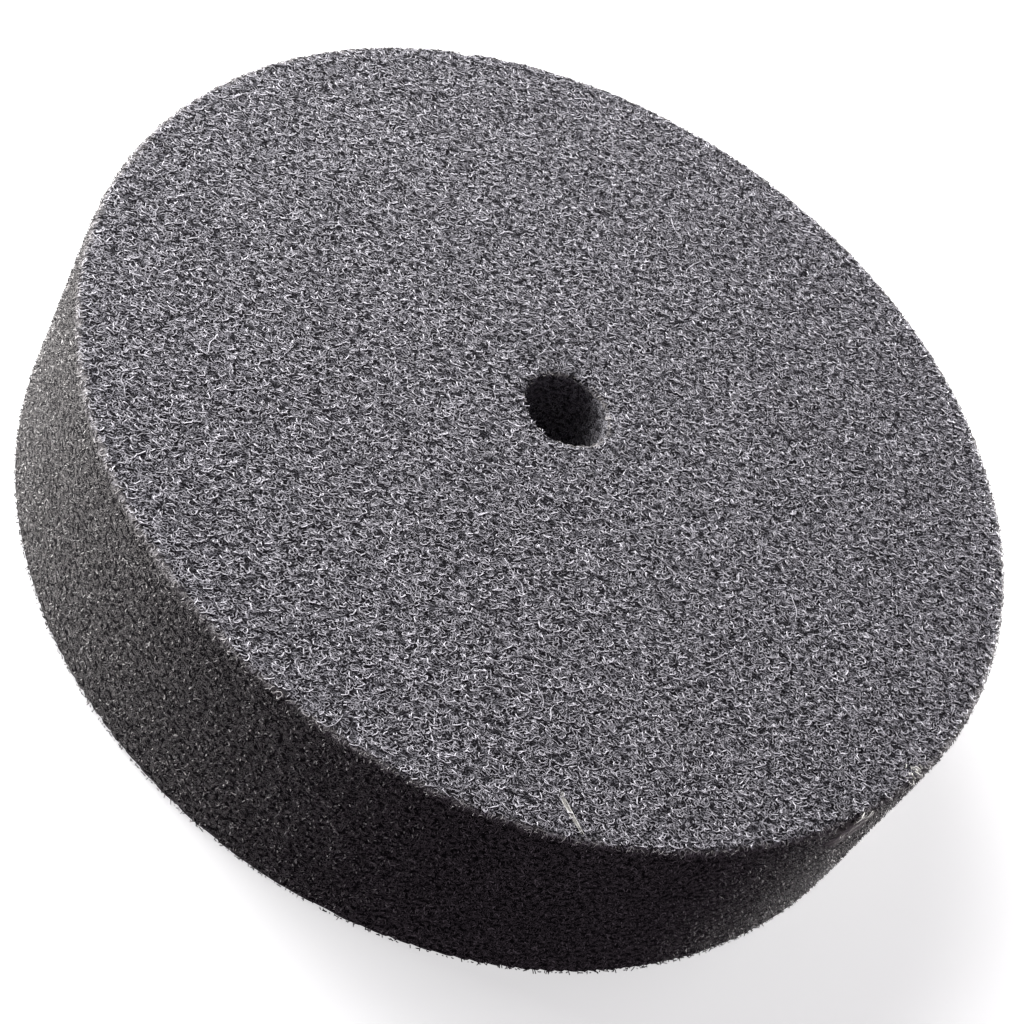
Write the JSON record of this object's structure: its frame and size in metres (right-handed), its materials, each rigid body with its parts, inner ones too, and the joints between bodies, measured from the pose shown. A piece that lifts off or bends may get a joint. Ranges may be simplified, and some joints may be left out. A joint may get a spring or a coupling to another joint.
{
  "type": "non-woven polishing wheel",
  "caption": "Thick dark grey disc of bonded nylon fibre web with a plain round hole through its centre, for polishing on a bench spindle.",
  "frame": {"origin": "centre of the flat face that the wheel lies on, on the axis of its bore", "axes": "+Z along the wheel's axis, up through its thickness; +X and +Y in the plane of the face"},
  "size_m": [0.15, 0.15, 0.036],
  "materials": {
    "fibre_web": "rough matte mat of crimped nylon fibres and abrasive grain"
  },
  "bodies": {
    "root": {"polishing_wheel": "fibre_web"}
  },
  "joints": []
}
